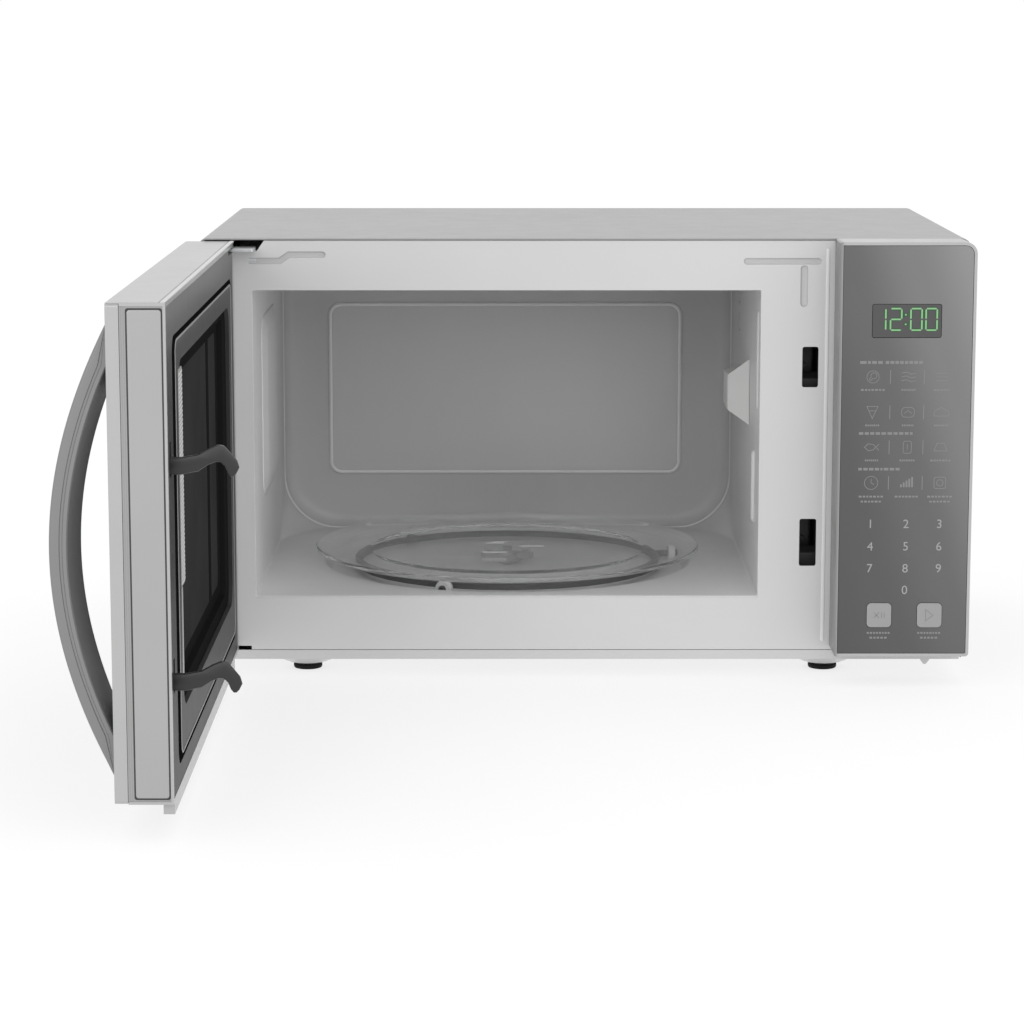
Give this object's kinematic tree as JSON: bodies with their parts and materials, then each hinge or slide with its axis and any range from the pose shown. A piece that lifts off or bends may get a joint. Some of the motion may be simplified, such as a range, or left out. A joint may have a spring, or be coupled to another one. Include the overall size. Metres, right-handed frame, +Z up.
{
  "type": "microwave oven",
  "caption": "Countertop microwave oven with its left-hinged door open, bowed handle, latch hooks, glass turntable and a keypad panel.",
  "frame": {"origin": "centre of the part's box at the feet, with the door open at a right angle", "axes": "+Z up; +Y from the open door towards the rear panel; +X towards the control panel"},
  "size_m": [0.5802, 0.7602, 0.3108],
  "materials": {
    "casing_paint": "satin silver-grey paint",
    "white_enamel": "satin off-white powder coat",
    "zinc_steel": "zinc-plated sheet",
    "mica": "matt grey mica sheet",
    "foot_rubber": "matt black",
    "black_plastic": "fine-textured black",
    "white_plastic": "satin white",
    "lamination": "varnished dark grey stack",
    "copper": "lacquered copper wire",
    "capacitor_can": "dull drawn can",
    "lamp_glass": "frosted",
    "circuit": "green solder mask",
    "tray_glass": "clear polished",
    "silver_plastic": "silver-grey paint",
    "panel_gloss": "dark grey gloss",
    "display_tint": "black tinted gloss",
    "key_plastic": "satin light grey",
    "smoked_glass": "black tinted gloss",
    "door_steel": "satin black",
    "cover_gloss": "dark grey gloss",
    "handle_grey": "satin metallic grey"
  },
  "bodies": {
    "cabinet": {"outer_casing": "casing_paint", "base_plate": "white_enamel", "rear_panel": "zinc_steel", "front_plate": "white_enamel", "oven_cavity": "white_enamel", "waveguide_cover": "mica", "foot_front_left": "foot_rubber", "foot_front_right": "foot_rubber", "foot_rear_left": "foot_rubber", "foot_rear_right": "foot_rubber", "case_screw_1": "zinc_steel", "case_screw_2": "zinc_steel", "case_screw_3": "zinc_steel", "case_screw_4": "zinc_steel", "upper_hinge_bracket": "zinc_steel", "lower_hinge_bracket": "zinc_steel", "cord_gland": "black_plastic", "waveguide": "zinc_steel", "magnetron": "zinc_steel", "magnetron_filter_box": "zinc_steel", "thermal_cutout": "black_plastic", "transformer_core": "lamination", "transformer_primary": "copper", "transformer_secondary": "copper", "hv_capacitor": "capacitor_can", "hv_diode": "black_plastic", "fan_shroud": "white_plastic", "fan_motor": "lamination", "oven_lamp": "lamp_glass", "noise_filter_board": "circuit", "turntable_motor": "zinc_steel", "latch_board": "black_plastic", "lower_interlock_switch": "black_plastic", "upper_interlock_switch": "black_plastic", "control_panel_frame": "silver_plastic", "control_panel_face": "panel_gloss", "display_window": "display_tint", "display_module": "black_plastic", "control_board": "circuit"},
    "door": {"door_outer_frame": "silver_plastic", "door_inner_frame": "silver_plastic", "door_window": "smoked_glass", "door_choke_frame": "door_steel", "door_screen": "door_steel", "door_inner_cover": "cover_gloss", "door_inner_window": "smoked_glass", "door_handle": "handle_grey", "key_spring": "zinc_steel"},
    "door_key": {"door_key": "black_plastic"},
    "drive_coupler": {"drive_coupler": "white_plastic"},
    "glass_tray": {"glass_tray": "tray_glass"},
    "roller_ring": {"roller_ring": "white_plastic"},
    "roller_1": {"roller_1": "white_plastic"},
    "roller_2": {"roller_2": "white_plastic"},
    "roller_3": {"roller_3": "white_plastic"},
    "fan_blade": {"fan_blade": "white_plastic"},
    "stop_key": {"stop_key": "key_plastic"},
    "start_key": {"start_key": "key_plastic"},
    "upper_switch_plunger": {"upper_switch_plunger": "black_plastic"},
    "lower_switch_plunger": {"lower_switch_plunger": "black_plastic"}
  },
  "joints": [
    {"name": "door_hinge", "type": "hinge", "parent": "cabinet", "child": "door", "pos_m": [-0.2339, 0.04875, 0.16], "axis": [0, 0, 1], "range_deg": [-5, 90]},
    {"name": "door_key_slide", "type": "slide", "parent": "door", "child": "door_key", "axis": [0, 0, 1], "range_m": [0, 0.006], "stiffness_N_per_m": 200, "springref_m": -0.005, "deforming": ["key_spring"]},
    {"name": "turntable_spin", "type": "hinge", "parent": "cabinet", "child": "drive_coupler", "pos_m": [-0.0317, 0.21715, 0.06], "axis": [0, 0, 1], "continuous": true},
    {"name": "tray_lift", "type": "slide", "parent": "drive_coupler", "child": "glass_tray", "axis": [0, 0, 1], "range_m": [0, 0.04]},
    {"name": "roller_ring_spin", "type": "hinge", "parent": "cabinet", "child": "roller_ring", "pos_m": [-0.0317, 0.21715, 0.05705], "axis": [0, 0, 1], "continuous": true},
    {"name": "roller_1_spin", "type": "hinge", "parent": "roller_ring", "child": "roller_1", "pos_m": [-0.07685, 0.09952, 0.05705], "axis": [-0.3584, -0.9336, 0], "continuous": true},
    {"name": "roller_2_spin", "type": "hinge", "parent": "roller_ring", "child": "roller_2", "pos_m": [0.09275, 0.23686, 0.05705], "axis": [0.9877, 0.1564, 0], "continuous": true},
    {"name": "roller_3_spin", "type": "hinge", "parent": "roller_ring", "child": "roller_3", "pos_m": [-0.11099, 0.31507, 0.05705], "axis": [-0.6293, 0.7771, 0], "continuous": true},
    {"name": "fan_spin", "type": "hinge", "parent": "cabinet", "child": "fan_blade", "pos_m": [0.2181, 0.33975, 0.185], "axis": [0, 1, 0], "continuous": true},
    {"name": "stop_key_press", "type": "slide", "parent": "cabinet", "child": "stop_key", "axis": [0, 1, 0], "range_m": [0, 0.0008], "stiffness_N_per_m": 400, "springref_m": -0.001},
    {"name": "start_key_press", "type": "slide", "parent": "cabinet", "child": "start_key", "axis": [0, 1, 0], "range_m": [0, 0.0008], "stiffness_N_per_m": 400, "springref_m": -0.001},
    {"name": "upper_plunger_press", "type": "slide", "parent": "cabinet", "child": "upper_switch_plunger", "axis": [0, 1, 0], "range_m": [0, 0.0012], "stiffness_N_per_m": 100, "springref_m": -0.002},
    {"name": "lower_plunger_press", "type": "slide", "parent": "cabinet", "child": "lower_switch_plunger", "axis": [0, 1, 0], "range_m": [0, 0.0012], "stiffness_N_per_m": 100, "springref_m": -0.002}
  ],
  "couplings": [
    {"joint": "roller_ring_spin", "follows": "turntable_spin", "ratio": 0.5},
    {"joint": "roller_1_spin", "follows": "turntable_spin", "ratio": -10.5},
    {"joint": "roller_2_spin", "follows": "turntable_spin", "ratio": -10.5},
    {"joint": "roller_3_spin", "follows": "turntable_spin", "ratio": -10.5}
  ]
}
